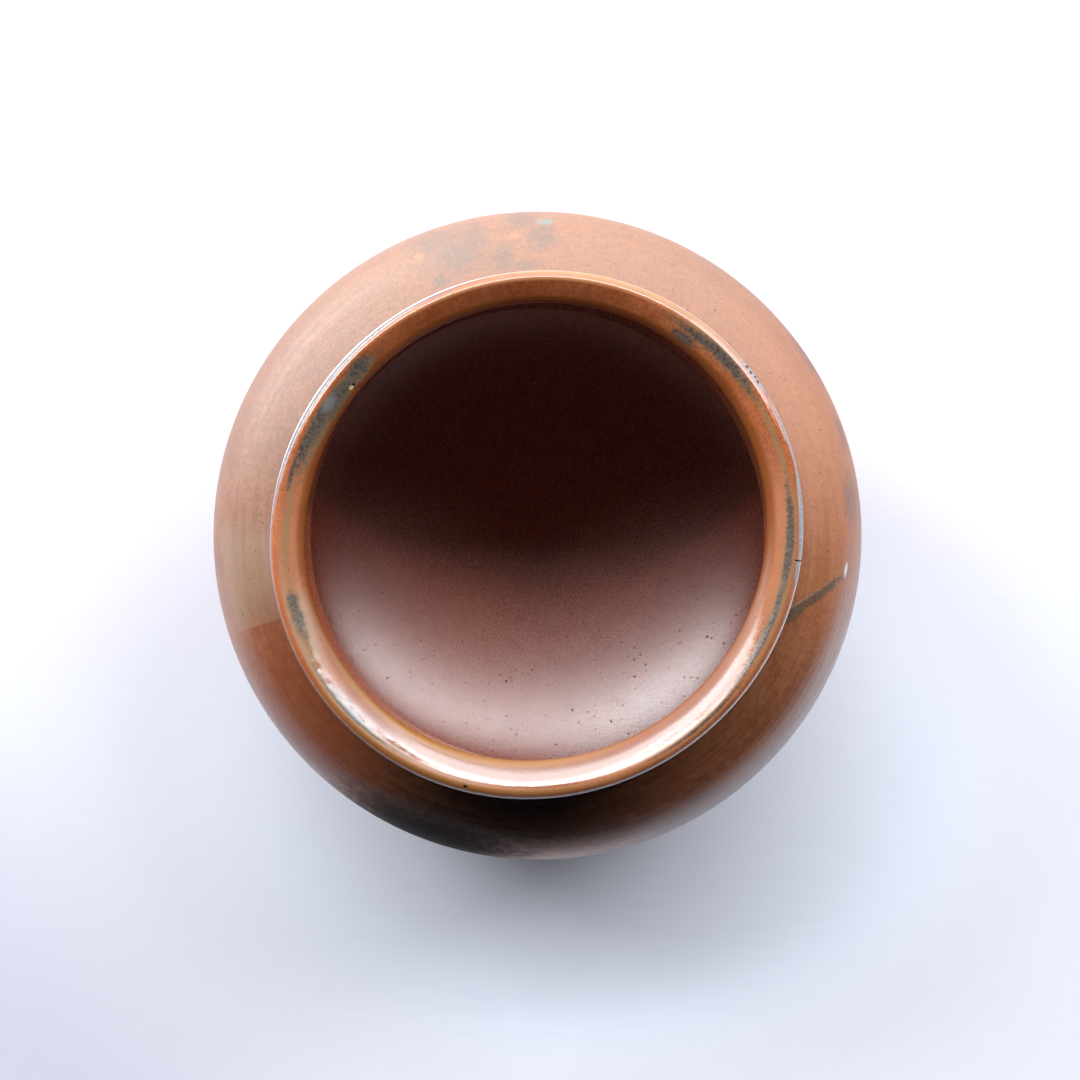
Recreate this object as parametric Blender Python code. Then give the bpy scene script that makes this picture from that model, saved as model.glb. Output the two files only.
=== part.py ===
"""Broad-shouldered stoneware jar with a dished, overhanging lip.

The jar is built as a potter builds one: a base pressed out as a shallow dish, a belly wall raised on it,
a shoulder wall closed in over the belly, a coil turned up into the neck, and a thick coil laid on the neck
and turned into the lip.  Each section ends in a face cut square across the wall, and the sections are luted
together with a thin film of slip.

Lengths are metres, +Z is up, and the jar stands on the plane z = 0 with its axis on Z.
"""

import math

import bmesh
import bpy
from mathutils import Vector

MM = 0.001

# Overall form
JAR_HEIGHT = 160.0 * MM
BELLY_DIAMETER = 200.0 * MM
BELLY_HEIGHT = 94.0 * MM
FOOT_DIAMETER = 150.0 * MM
MOUTH_DIAMETER = 132.8 * MM

# Wall
FOOT_WALL = 10.0 * MM
BELLY_WALL = 7.0 * MM
SHOULDER_WALL = 6.0 * MM
FLOOR_THICKNESS = 10.0 * MM

# Foot
FOOT_CHAMFER = 2.0 * MM
FOOT_RING_WIDTH = 17.0 * MM
FOOT_HOLLOW_DEPTH = 1.5 * MM
FOOT_HOLLOW_RUN = 4.0 * MM

# Curves of the wall and the dished floor, as angles above the horizontal and as the pull of each end on the curve
FOOT_FLARE_ANGLE = math.radians(48.0)
SHOULDER_ANGLE = math.radians(22.0)
FOOT_PULL_RATIO = 0.34
BELLY_PULL_DOWN_RATIO = 0.50
BELLY_PULL_UP_RATIO = 0.72
SHOULDER_PULL_RATIO = 0.78
FLOOR_RIM_PULL_RATIO = 0.45
FLOOR_MIDDLE_RATIO = 0.55

# Neck and lip: neck, underside of the lip, sharp outer edge, crest, dished lip, rounded mouth
NECK_WALL = 5.1 * MM
NECK_LENGTH = 10.0 * MM
NECK_FOOT_ROUND = 3.0 * MM
LIP_OVERHANG = 5.8 * MM
LIP_UNDERCUT_ANGLE = math.radians(35.0)
UNDERCUT_ROUND = 2.2 * MM
EDGE_ROUND = 0.5 * MM
LIP_BEVEL_WIDTH = 3.4 * MM
LIP_BEVEL_ANGLE = math.radians(42.0)
CREST_ROUND = 3.2 * MM
LIP_DISH_ANGLE = math.radians(24.0)
MOUTH_ROUND = 3.0 * MM
INNER_NECK_ROUND = 9.0 * MM

# Luted joints between the sections
BASE_RIM_RISE = 14.0 * MM
SHOULDER_SECTION_DROP = 18.0 * MM
LIP_JOINT_DROP = 2.0 * MM
JOINT_GAP = 0.3 * MM

# Facets
SIDES = 64
WALL_STEPS = 9
FLOOR_STEPS = 7
ROUND_STEPS = 4

# Glazes and bare clay, linear colours
GLAZE_ORANGE = (0.42, 0.15, 0.055, 1.0)
GLAZE_LIP = (0.40, 0.16, 0.06, 1.0)
BARE_CLAY = (0.36, 0.27, 0.20, 1.0)
GLAZE_ROUGHNESS = 0.28
CLAY_ROUGHNESS = 0.75

MOUTH_RADIUS = MOUTH_DIAMETER / 2
NECK_RADIUS = MOUTH_RADIUS + NECK_WALL
RIM_RADIUS = NECK_RADIUS + LIP_OVERHANG
BELLY_RADIUS = BELLY_DIAMETER / 2
FOOT_RADIUS = FOOT_DIAMETER / 2


# Outline tools: every outline point is (radius, height)


def outline_point(radius, height):
    return Vector((radius, height))


def bezier(ends, t):
    """Point of a cubic curve at t."""
    a, b, c, d = ends
    s = 1 - t
    return a * s**3 + b * (3 * s * s * t) + c * (3 * s * t * t) + d * t**3


def bezier_slope(ends, t):
    """Direction of a cubic curve at t, as long as the curve is fast."""
    a, b, c, d = ends
    s = 1 - t
    return (b - a) * (3 * s * s) + (c - b) * (6 * s * t) + (d - c) * (3 * t * t)


def spaced(low, high, steps):
    return [low + (high - low) * i / steps for i in range(steps + 1)]


def rounded_corner(before, corner, after, radius, steps):
    """Arc of that radius which takes the place of a corner between two straight stretches."""
    back = (before - corner).normalized()
    ahead = (after - corner).normalized()
    half = back.angle(ahead) / 2
    bisector = (back + ahead).normalized()
    centre = corner + bisector * (radius / math.sin(half))
    start = corner + back * (radius / math.tan(half)) - centre
    sweep = math.pi - 2 * half
    turn = -1 if back.cross(ahead) > 0 else 1
    points = []
    for i in range(steps + 1):
        angle = turn * sweep * i / steps
        spun = Vector((
            start.x * math.cos(angle) - start.y * math.sin(angle),
            start.x * math.sin(angle) + start.y * math.cos(angle),
        ))
        points.append(centre + spun)
    return points


def rounded_outline(corners):
    """Outline through corners given as (point, radius); a radius of None keeps the point sharp."""
    points = []
    for i, (point, radius) in enumerate(corners):
        if radius is None:
            points.append(point)
        else:
            points += rounded_corner(corners[i - 1][0], point, corners[i + 1][0], radius, ROUND_STEPS)
    return points


# The wall: one line up the outside, from the foot to the neck, with a thickness at every station.
# Station 0 is the foot, 1 is the belly and 2 is the top of the shoulder, where the neck sits.


def rim_levels():
    """Heights of the corners of lip and neck, worked down from the crest to the top of the shoulder."""
    crest_half_turn = (LIP_DISH_ANGLE + LIP_BEVEL_ANGLE) / 2
    crest_cut = CREST_ROUND * math.tan(crest_half_turn)
    crest_fall = CREST_ROUND * (1 - math.cos(LIP_DISH_ANGLE))
    apex = JAR_HEIGHT + crest_cut * math.sin(LIP_DISH_ANGLE) - crest_fall
    edge = apex - LIP_BEVEL_WIDTH * math.tan(LIP_BEVEL_ANGLE)
    under_lip = edge - LIP_OVERHANG * math.tan(LIP_UNDERCUT_ANGLE)
    neck_foot = under_lip - NECK_LENGTH
    crest_radius = RIM_RADIUS - LIP_BEVEL_WIDTH
    mouth = apex - (crest_radius - MOUTH_RADIUS) * math.tan(LIP_DISH_ANGLE)
    return {"apex": apex, "edge": edge, "under_lip": under_lip, "neck_foot": neck_foot, "mouth": mouth}


LEVELS = rim_levels()


def shoulder_top():
    """Where the shoulder ends, one rounding out from the neck."""
    run = 2 * NECK_FOOT_ROUND
    return outline_point(NECK_RADIUS + run, LEVELS["neck_foot"] - run * math.tan(SHOULDER_ANGLE))


def lower_wall_curve():
    foot = outline_point(FOOT_RADIUS, FOOT_CHAMFER)
    belly = outline_point(BELLY_RADIUS, BELLY_HEIGHT)
    reach = (belly - foot).length
    flare = outline_point(math.cos(FOOT_FLARE_ANGLE), math.sin(FOOT_FLARE_ANGLE))
    belly_handle = belly - outline_point(0, BELLY_PULL_DOWN_RATIO * (BELLY_HEIGHT - FOOT_CHAMFER))
    return foot, foot + flare * (FOOT_PULL_RATIO * reach), belly_handle, belly


def upper_wall_curve():
    belly = outline_point(BELLY_RADIUS, BELLY_HEIGHT)
    top = shoulder_top()
    across = BELLY_RADIUS - top.x
    belly_handle = belly + outline_point(0, BELLY_PULL_UP_RATIO * (top.y - BELLY_HEIGHT))
    fall = outline_point(1, -math.tan(SHOULDER_ANGLE))
    return belly, belly_handle, top + fall * (SHOULDER_PULL_RATIO * across), top


WALL_CURVES = (lower_wall_curve(), upper_wall_curve())


def wall_curve_at(station):
    index = min(int(station), 1)
    return WALL_CURVES[index], station - index


def wall_outside(station):
    return bezier(*wall_curve_at(station))


def wall_direction(station):
    return bezier_slope(*wall_curve_at(station))


def wall_thickness(station):
    thicknesses = (FOOT_WALL, BELLY_WALL, SHOULDER_WALL)
    index = min(int(station), 1)
    share = station - index
    return thicknesses[index] * (1 - share) + thicknesses[index + 1] * share


def wall_inside(station):
    along = wall_direction(station).normalized()
    outward = outline_point(along.y, -along.x)
    return wall_outside(station) - outward * wall_thickness(station)


def station_at_height(height):
    """Station where the outside of the wall is at that height; the wall only ever rises."""
    low, high = 0.0, 2.0
    for _ in range(50):
        middle = (low + high) / 2
        if wall_outside(middle).y < height:
            low = middle
        else:
            high = middle
    return (low + high) / 2


def past_joint(station, side):
    """Station half a joint gap above (side 1) or below (side -1) a joint."""
    return station + side * JOINT_GAP / 2 / wall_direction(station).length


BASE_JOINT = station_at_height(FLOOR_THICKNESS + BASE_RIM_RISE)
SHOULDER_JOINT = station_at_height(shoulder_top().y - SHOULDER_SECTION_DROP)
NECK_JOINT = 2.0


# Section outlines, each a closed loop or a line that starts and ends on the axis


def wall_outline(low_joint, high_joint):
    """Loop up the outside and down the inside of the wall between two joints."""
    stations = spaced(past_joint(low_joint, 1), past_joint(high_joint, -1), WALL_STEPS)
    outside = [wall_outside(s) for s in stations]
    inside = [wall_inside(s) for s in reversed(stations)]
    return outside + inside


def base_outline():
    """Hollowed underside, chamfered foot, start of the wall, and the dished floor back to the axis."""
    ring_inside = FOOT_RADIUS - FOOT_CHAMFER - FOOT_RING_WIDTH
    underside = [
        outline_point(0, FOOT_HOLLOW_DEPTH),
        outline_point(ring_inside - FOOT_HOLLOW_RUN, FOOT_HOLLOW_DEPTH),
        outline_point(ring_inside, 0),
        outline_point(FOOT_RADIUS - FOOT_CHAMFER, 0),
    ]
    joint = past_joint(BASE_JOINT, -1)
    outside = [wall_outside(s) for s in spaced(0, joint, ROUND_STEPS)]
    rim = wall_inside(joint)
    along = wall_direction(joint).normalized()
    drop = rim.y - FLOOR_THICKNESS
    floor_curve = (
        rim,
        rim - along * (FLOOR_RIM_PULL_RATIO * drop / along.y),
        outline_point(FLOOR_MIDDLE_RATIO * rim.x, FLOOR_THICKNESS),
        outline_point(0, FLOOR_THICKNESS),
    )
    floor = [bezier(floor_curve, t) for t in spaced(0, 1, FLOOR_STEPS)]
    return underside + outside + floor


def lip_joint(side):
    """Height of the neck's top (side -1) or of the lip's underside (side 1), on the straight of the neck."""
    return LEVELS["under_lip"] - LIP_JOINT_DROP + side * JOINT_GAP / 2


def neck_outline():
    """From the shoulder up the outside of the neck, across its flat top and down inside to the shoulder."""
    joint_gap = wall_direction(NECK_JOINT).normalized() * (JOINT_GAP / 2)
    outside = wall_outside(NECK_JOINT) + joint_gap
    inside = wall_inside(NECK_JOINT) + joint_gap
    inner_foot = inside.y + (inside.x - MOUTH_RADIUS) * math.tan(SHOULDER_ANGLE)
    return rounded_outline([
        (outside, None),
        (outline_point(NECK_RADIUS, LEVELS["neck_foot"]), NECK_FOOT_ROUND),
        (outline_point(NECK_RADIUS, lip_joint(-1)), None),
        (outline_point(MOUTH_RADIUS, lip_joint(-1)), None),
        (outline_point(MOUTH_RADIUS, inner_foot), INNER_NECK_ROUND),
        (inside, None),
    ])


def lip_outline():
    """Out under the lip, over the edge and the crest, down the dished lip and inside the mouth."""
    return rounded_outline([
        (outline_point(NECK_RADIUS, lip_joint(1)), None),
        (outline_point(NECK_RADIUS, LEVELS["under_lip"]), UNDERCUT_ROUND),
        (outline_point(RIM_RADIUS, LEVELS["edge"]), EDGE_ROUND),
        (outline_point(RIM_RADIUS - LIP_BEVEL_WIDTH, LEVELS["apex"]), CREST_ROUND),
        (outline_point(MOUTH_RADIUS, LEVELS["mouth"]), MOUTH_ROUND),
        (outline_point(MOUTH_RADIUS, lip_joint(1)), None),
    ])


# Turning the outlines into solids


def turned_object(name, outline, closed, material):
    """Solid of revolution about Z, spun from an outline in the XZ plane."""
    mesh = bpy.data.meshes.new(name)
    bm = bmesh.new()
    points = [bm.verts.new((p.x, 0, p.y)) for p in outline]
    edges = [bm.edges.new(pair) for pair in zip(points, points[1:])]
    if closed:
        edges.append(bm.edges.new((points[-1], points[0])))
    bmesh.ops.spin(
        bm, geom=points + edges, axis=(0, 0, 1), cent=(0, 0, 0), angle=math.tau, steps=SIDES, use_merge=True
    )
    bmesh.ops.remove_doubles(bm, verts=bm.verts[:], dist=JOINT_GAP / 100)
    bmesh.ops.recalc_face_normals(bm, faces=bm.faces[:])
    bm.to_mesh(mesh)
    bm.free()
    mesh.shade_smooth()
    mesh.set_sharp_from_angle(angle=math.radians(40))
    mesh.materials.append(material)
    solid = bpy.data.objects.new(name, mesh)
    bpy.context.scene.collection.objects.link(solid)
    return solid


def fired_material(name, colour, roughness):
    material = bpy.data.materials.new(name)
    material.use_nodes = True
    shader = material.node_tree.nodes["Principled BSDF"]
    shader.inputs["Base Color"].default_value = colour
    shader.inputs["Roughness"].default_value = roughness
    shader.inputs["Metallic"].default_value = 0.0
    return material


def clear_scene():
    for old in list(bpy.data.objects):
        bpy.data.objects.remove(old)


def build_jar():
    clear_scene()
    glaze = fired_material("orange_glaze", GLAZE_ORANGE, GLAZE_ROUGHNESS)
    lip_glaze = fired_material("lip_glaze", GLAZE_LIP, GLAZE_ROUGHNESS)
    clay = fired_material("bare_stoneware", BARE_CLAY, CLAY_ROUGHNESS)
    turned_object("base_dish", base_outline(), False, clay)
    turned_object("belly_wall", wall_outline(BASE_JOINT, SHOULDER_JOINT), True, glaze)
    turned_object("shoulder_wall", wall_outline(SHOULDER_JOINT, NECK_JOINT), True, glaze)
    turned_object("neck_ring", neck_outline(), True, lip_glaze)
    turned_object("lip_ring", lip_outline(), True, lip_glaze)


build_jar()
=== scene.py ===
# %% [markdown]
# # A stoneware jar seen from above
#
# The jar is a squat storage jar: a broad shoulder, a short neck hidden under a thick lip, and a dark round
# inside. The imported model already holds its five luted sections at their true sizes. This lesson remodels
# each section finely enough for close views, glazes it, and lights it as in the photograph. The first cell
# loads the imported model, which stays as a fixed frame.

# %% Load the imported jar
import math

import bpy
import numpy as np
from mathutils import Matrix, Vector


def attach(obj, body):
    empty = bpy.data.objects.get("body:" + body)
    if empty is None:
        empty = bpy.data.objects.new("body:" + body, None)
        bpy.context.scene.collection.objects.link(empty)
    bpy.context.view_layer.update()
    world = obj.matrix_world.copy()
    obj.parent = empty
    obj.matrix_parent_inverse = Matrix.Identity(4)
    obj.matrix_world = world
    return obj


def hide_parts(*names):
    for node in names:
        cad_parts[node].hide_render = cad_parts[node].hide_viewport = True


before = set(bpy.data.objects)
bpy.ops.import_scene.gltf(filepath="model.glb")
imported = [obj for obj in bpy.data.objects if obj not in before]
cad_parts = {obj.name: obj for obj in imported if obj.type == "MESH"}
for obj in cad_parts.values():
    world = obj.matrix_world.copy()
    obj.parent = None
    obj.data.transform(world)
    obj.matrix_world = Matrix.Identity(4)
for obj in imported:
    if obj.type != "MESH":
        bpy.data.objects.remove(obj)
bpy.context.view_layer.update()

# %% [markdown]
# ## The camera
#
# The photograph looks straight down into the mouth. A real lens never stands exactly over the middle, and
# the lip looks a little narrower at the back than at the front, so the camera stands a millimetre or two
# off the axis. A long lens a metre up gives the same swell of the lip over the shoulder.

# %% Camera over the mouth
MM = 0.001
PHOTO_SIDE = 1080
LENS_PIXELS = 2899
SENSOR_WIDTH = 36
CAMERA_PLACE = (0.76 * MM, -1.37 * MM, 1.0)

bpy.ops.object.camera_add(location=CAMERA_PLACE, rotation=(0, 0, 0))
camera = bpy.context.active_object
camera.name = "camera_over_mouth"
camera.data.sensor_width = SENSOR_WIDTH
camera.data.lens = SENSOR_WIDTH * LENS_PIXELS / PHOTO_SIDE
camera.data.clip_start = 0.05
bpy.context.scene.camera = camera
bpy.context.scene.view_settings.view_transform = "Standard"
print("camera lens", camera.data.lens, "mm at", tuple(camera.location))

# %% [markdown]
# ## The light
#
# The jar stands before a wide window. The shadow on the table falls straight towards the viewer, the
# window's straight top edge draws a soft curve across the inside, and the near lip mirrors it as a pale
# band. Low on the left something bright stands outside, for a pale sheen runs round the left shoulder.
# One big lamp would give the shadow but not these reflections. So the window is built as panes, each an
# area lamp in one upright plane behind the jar, given by its edges and its brightness.

# %% Window panes
WINDOW_DISTANCE = 1.2
DAYLIGHT = (0.95, 0.975, 1.0)
WATTS_PER_RADIANCE = 4  # an area lamp of W watts on A square metres shines with W / (4 A)
PANES = [
    # name, left, right, bottom, top in metres, radiance
    ("pane_crown_left", -2.70, -1.20, 3.04, 3.90, 6.8),
    ("pane_crown_right", 1.20, 2.70, 3.04, 3.90, 5.6),
    ("pane_top_left", -2.16, -0.84, 2.50, 3.04, 9.0),
    ("pane_top_near_left", -0.84, -0.30, 2.50, 3.04, 5.0),
    ("pane_top_right", 0.84, 2.16, 2.50, 3.04, 8.0),
    ("pane_upper_left", -2.16, -0.84, 1.78, 2.50, 8.2),
    ("pane_upper_middle", -0.84, 0.84, 1.78, 2.40, 7.0),
    ("pane_sky_strip", -0.84, 0.84, 2.40, 2.54, 22.0),
    ("pane_upper_right", 0.84, 2.16, 1.78, 2.50, 6.2),
    ("pane_middle", -0.84, 0.84, 0.88, 1.78, 2.3),
    ("pane_middle_right", 0.84, 2.16, 0.88, 1.78, 5.0),
    ("pane_far_right", 2.16, 3.36, 0.02, 1.78, 3.2),
    ("pane_low_left", -3.36, -0.84, 0.02, 0.88, 14.0),
    ("pane_low_middle", -0.84, 0.84, 0.02, 0.88, 2.2),
    ("pane_low_right", 0.84, 2.16, 0.02, 0.88, 3.4),
]


def hang_pane(name, left, right, bottom, top, radiance):
    """Area lamp in the plane of the window, facing the jar."""
    middle = ((left + right) / 2, WINDOW_DISTANCE, (bottom + top) / 2)
    bpy.ops.object.light_add(type="AREA", location=middle, rotation=(-math.pi / 2, 0, 0))
    lamp = bpy.context.active_object
    lamp.name = name
    lamp.data.shape = "RECTANGLE"
    lamp.data.size, lamp.data.size_y = right - left, top - bottom
    lamp.data.energy = WATTS_PER_RADIANCE * radiance * lamp.data.size * lamp.data.size_y
    lamp.data.color = DAYLIGHT
    lamp.visible_camera = False
    return lamp


for row in PANES:
    lamp = hang_pane(*row)
    print(lamp.name, round(lamp.data.energy, 1), "W")

# %% [markdown]
# ## The room
#
# The side of the room that faces the window is nearly dark, and that is why the near shoulder sinks into
# shade. A world with a very dim, cool colour stands in for its walls.

# %% Dim room
ROOM_LIGHT = (0.008, 0.009, 0.012, 1)

world = bpy.data.worlds.new("dim_room")
bpy.context.scene.world = world
world.use_nodes = True
world.node_tree.nodes["Background"].inputs["Color"].default_value = ROOM_LIGHT
print("room light", ROOM_LIGHT[:3])

# %% [markdown]
# ## Tools for wiring nodes
#
# Every surface below is a web of shader nodes. Writing each node out in full would bury the idea of the
# finish, so a few small helpers add a node and return the socket that the next step needs.

# %% Node helpers


def feed(tree, socket, value):
    """Link a socket, or set its value."""
    if isinstance(value, bpy.types.NodeSocket):
        tree.links.new(value, socket)
    else:
        socket.default_value = value


def put(tree, kind, sockets=None, **options):
    """Add a node, set its options and feed its sockets."""
    node = tree.nodes.new("ShaderNode" + kind)
    for option, value in options.items():
        setattr(node, option, value)
    for socket, value in (sockets or {}).items():
        feed(tree, node.inputs[socket], value)
    return node


def calc(tree, operation, *values):
    """Math node over one, two or three values."""
    return put(tree, "Math", dict(enumerate(values)), operation=operation).outputs[0]


def times(tree, first, second):
    """Product of two values."""
    return calc(tree, "MULTIPLY", first, second)


def combine(tree, operation, *terms):
    """Values, each given with its weight, joined one after the other by ADD or MAXIMUM."""
    total = None
    for value, weight in terms:
        term = times(tree, value, weight)
        total = term if total is None else calc(tree, operation, total, term)
    return total


def slide(tree, value, low, high, start=0.0, end=1.0):
    """Smooth step: start below low, end above high."""
    sockets = {"Value": value, "From Min": low, "From Max": high, "To Min": start, "To Max": end}
    return put(tree, "MapRange", sockets, interpolation_type="SMOOTHSTEP").outputs["Result"]


def move(tree, operation, vector, by):
    """Vector after adding or multiplying another."""
    return put(tree, "VectorMath", {0: vector, 1: by}, operation=operation).outputs["Vector"]


print("helpers for values ready")

# %% [markdown]
# ## Tools for colour
#
# A finish is built like a painting, one thin layer over another. Four more helpers mix two colours, lay
# one over another through a mask, make the cloudy noise that breaks up every layer, and press a relief.

# %% Colour helpers


def tint(tree, share, first, second, blend="MIX"):
    """Colour mix: first where share is 0, second where it is 1."""
    first, second = [c if isinstance(c, bpy.types.NodeSocket) else (*c, 1) for c in (first, second)]
    node = put(tree, "Mix", {0: share, 6: first, 7: second}, data_type="RGBA", blend_type=blend)
    return node.outputs[2]


def lay(tree, colour, mask, strength, over):
    """Lay a colour over another where a mask is, at a strength."""
    return tint(tree, times(tree, mask, strength), colour, over)


def cloud(tree, vector, scale, detail, roughness=0.5):
    """Noise value about one half; on a vector in millimetres, scale is in steps per millimetre."""
    sockets = {"Vector": vector, "Scale": scale, "Detail": detail, "Roughness": roughness}
    return put(tree, "TexNoise", sockets).outputs["Fac"]


def emboss(tree, shader, relief, strength, depth):
    """Feed the shader's normal with a relief of a depth in millimetres."""
    bump = put(tree, "Bump", {"Height": relief, "Strength": strength, "Distance": depth * MM})
    feed(tree, shader.inputs["Normal"], bump.outputs["Normal"])


print("helpers for colour ready")

# %% [markdown]
# ## The table
#
# The jar stands on a white table with a faint cool cast. It is a plain sheet, far larger than the view, with
# a trace of brushing in its colour. Away from the jar, and most of all in the near left corner, two soft
# masks multiply its colour down as painted shade, for the light falls off there.

# %% Table
TABLE_SIDE = 6
BRUSHING = (60, 900, 1)
PAINT_DARK, PAINT_LIGHT = (0.80, 0.835, 0.955), (0.85, 0.885, 0.995)
# painted shade: the table is multiplied darker away from the jar and in the near left corner
PAINTED_FALLOFF_SHADE, PAINTED_CORNER_SHADE = (0.845, 0.815, 0.80), (0.74, 0.75, 0.78)
TO_UNSHADED_SPOT, UNSHADED_SPOT_SHAPE = (-0.02, 0.08, 0.0), (1.0, 1.4, 1.0)

bpy.ops.mesh.primitive_plane_add(size=TABLE_SIDE, location=(0, 0, 0))
table = bpy.context.active_object
table.name = "table"

table_paint = bpy.data.materials.new("table_paint")
table_paint.use_nodes = True
tree = table_paint.node_tree
shader = tree.nodes["Principled BSDF"]
place = put(tree, "TexCoord").outputs["Object"]
brushed = put(tree, "Mapping", {"Vector": place, "Scale": BRUSHING}).outputs["Vector"]
paint = tint(tree, cloud(tree, brushed, scale=1.0, detail=3.0), PAINT_DARK, PAINT_LIGHT)
# painted shade: the spot by the jar stays bright, the rest of the table and the near left corner are
# darkened
offset = move(tree, "MULTIPLY", move(tree, "ADD", place, TO_UNSHADED_SPOT), UNSHADED_SPOT_SHAPE)
reach = put(tree, "VectorMath", {0: offset}, operation="LENGTH").outputs["Value"]
paint = tint(tree, slide(tree, reach, 0.105, 0.165), paint, PAINTED_FALLOFF_SHADE, "MULTIPLY")
across = put(tree, "SeparateXYZ", {"Vector": place}).outputs
corner = slide(tree, calc(tree, "ADD", across["X"], across["Y"]), -0.37, -0.22, 1.0, 0.0)
paint = tint(tree, corner, paint, PAINTED_CORNER_SHADE, "MULTIPLY")
feed(tree, shader.inputs["Base Color"], paint)
feed(tree, shader.inputs["Roughness"], 0.6)
table.data.materials.append(table_paint)
print("table", TABLE_SIDE, "m wide")

# %% [markdown]
# ## The line of the wall
#
# A turned pot is all in its profile. The outside is two long curves that meet at the widest part of the
# belly, each with four guide points, and the wall thins from ten millimetres at the foot to six at the
# neck. A station of 0 is the foot, 1 the belly and 2 the top of the shoulder. The same line was used for
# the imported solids, so the new sections lie on them.

# %% Wall profile in millimetres
FOOT = Vector((75, 2))
BELLY = Vector((100, 94))
SHOULDER_TOP = Vector((77.5, 141.02))
LOWER_WALL = (FOOT, Vector((96.69, 26.09)), Vector((100, 48)), BELLY)
UPPER_WALL = (BELLY, Vector((100, 127.86)), Vector((95.05, 133.93)), SHOULDER_TOP)
WALL_THICKNESS = (10.0, 7.0, 6.0)
BASE_JOINT_HEIGHT, SHOULDER_JOINT_HEIGHT = 24.0, 123.02
HALVINGS = 50


def on_curve(guides, t):
    """Point of a cubic curve with four guide points."""
    a, b, c, d = guides
    s = 1 - t
    return a * s**3 + b * (3 * s * s * t) + c * (3 * s * t * t) + d * t**3


def along_curve(guides, t):
    """Direction of the curve at the same place."""
    a, b, c, d = guides
    s = 1 - t
    return ((b - a) * (s * s) + (c - b) * (2 * s * t) + (d - c) * (t * t)).normalized()


def wall_point(station, inside=False):
    """Point of the wall's outer or inner face at a station."""
    part = min(int(station), 1)
    guides, t = (LOWER_WALL, UPPER_WALL)[part], station - part
    point = on_curve(guides, t)
    if inside:
        along = along_curve(guides, t)
        thickness = WALL_THICKNESS[part] * (1 - t) + WALL_THICKNESS[part + 1] * t
        point = point - Vector((along.y, -along.x)) * thickness
    return point


def station_at(height):
    """Station where the outer face is at a height, found by halving."""
    low, high = 0.0, 2.0
    for _ in range(HALVINGS):
        middle = (low + high) / 2
        low, high = (middle, high) if wall_point(middle).y < height else (low, middle)
    return low


BASE_JOINT, SHOULDER_JOINT = station_at(BASE_JOINT_HEIGHT), station_at(SHOULDER_JOINT_HEIGHT)
NECK_JOINT = 2.0
print("joints at stations", round(BASE_JOINT, 3), round(SHOULDER_JOINT, 3), NECK_JOINT)

# %% [markdown]
# ## Turning a section
#
# A potter turns clay against a rib; in Blender the same thing is a profile spun round the axis. A tiny
# circle is added, merged to one point, moved to the start of the profile and extruded along it point by
# point. Spin sweeps that line through an eighth of a turn, because it grows slow over many steps, and
# three doublings, each a turned copy of all that is there, close the ring. The doubles along the seams
# are merged, and the normals are made to point outwards. A lathe modifier would do as well, but these
# steps show how. Before anything else moves, each point's turned radius and height are kept as
# attributes, so that glaze effects can follow the profile even where the lip is later pushed out of true.

# %% Turning tools
EIGHTH = math.tau / 8
MERGE_DISTANCE = 0.002 * MM
SMOOTH_ANGLE = math.radians(40)


def keep_value(piece, label, values):
    """Store one number per point under a name that materials can read."""
    attribute = piece.data.attributes.new(label, "FLOAT", "POINT")
    attribute.data.foreach_set("value", np.ascontiguousarray(values, np.float32))


def points_of(piece):
    """Places of all points, in millimetres."""
    points = np.empty(len(piece.data.vertices) * 3, np.float32)
    piece.data.vertices.foreach_get("co", points)
    return points.reshape(-1, 3) / MM


def turn_section(name, profile, steps):
    """Spin a profile, given as (radius, height) in millimetres, into a closed section of the jar."""
    bpy.ops.object.select_all(action="DESELECT")
    bpy.ops.mesh.primitive_circle_add(vertices=3, radius=MM, location=(0, 0, 0))
    piece = bpy.context.active_object
    piece.name = piece.data.name = name
    bpy.ops.object.mode_set(mode="EDIT")
    bpy.ops.mesh.select_all(action="SELECT")
    bpy.ops.mesh.merge(type="CENTER")
    bpy.ops.transform.translate(value=(profile[0].x * MM, 0, profile[0].y * MM))
    for before, after in zip(profile, profile[1:]):
        step = (after - before) * MM
        bpy.ops.mesh.extrude_region_move(TRANSFORM_OT_translate={"value": (step.x, 0, step.y)})
    bpy.ops.mesh.select_all(action="SELECT")
    bpy.ops.mesh.remove_doubles(threshold=MERGE_DISTANCE)
    bpy.ops.mesh.spin(steps=steps // 8, angle=EIGHTH, center=(0, 0, 0), axis=(0, 0, 1))
    for turn in (EIGHTH, 2 * EIGHTH, 4 * EIGHTH):
        bpy.ops.mesh.select_all(action="SELECT")
        bpy.ops.mesh.duplicate()
        bpy.ops.transform.rotate(value=turn, orient_axis="Z", center_override=(0, 0, 0))
    bpy.ops.mesh.select_all(action="SELECT")
    bpy.ops.mesh.remove_doubles(threshold=MERGE_DISTANCE)
    bpy.ops.mesh.normals_make_consistent(inside=False)
    bpy.ops.object.mode_set(mode="OBJECT")
    bpy.ops.object.shade_smooth_by_angle(angle=SMOOTH_ANGLE)
    points = points_of(piece)
    keep_value(piece, "turned_radius", np.hypot(points[:, 0], points[:, 1]))
    keep_value(piece, "turned_height", points[:, 2])
    print(name, len(piece.data.vertices), "points", len(piece.data.polygons), "faces")
    return piece


# %% [markdown]
# ## Belly and shoulder
#
# The belly and the shoulder are plain lengths of the wall: up the outside, square across the joint and
# down the inside. A ring right beside each end keeps the shading smooth up to the seam. More of the
# shoulder is seen, so it gets the finer turn of the two.

# %% Belly and shoulder
END_RING = 0.02  # share of a step


def even_steps(low, high, count):
    """Stations from low to high, with two extra ones close to the ends so that seams shade smoothly."""
    edge = (high - low) * END_RING / count
    steps = [low + (high - low) * i / count for i in range(count + 1)]
    return [steps[0], low + edge, *steps[1:-1], high - edge, steps[-1]]


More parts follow.
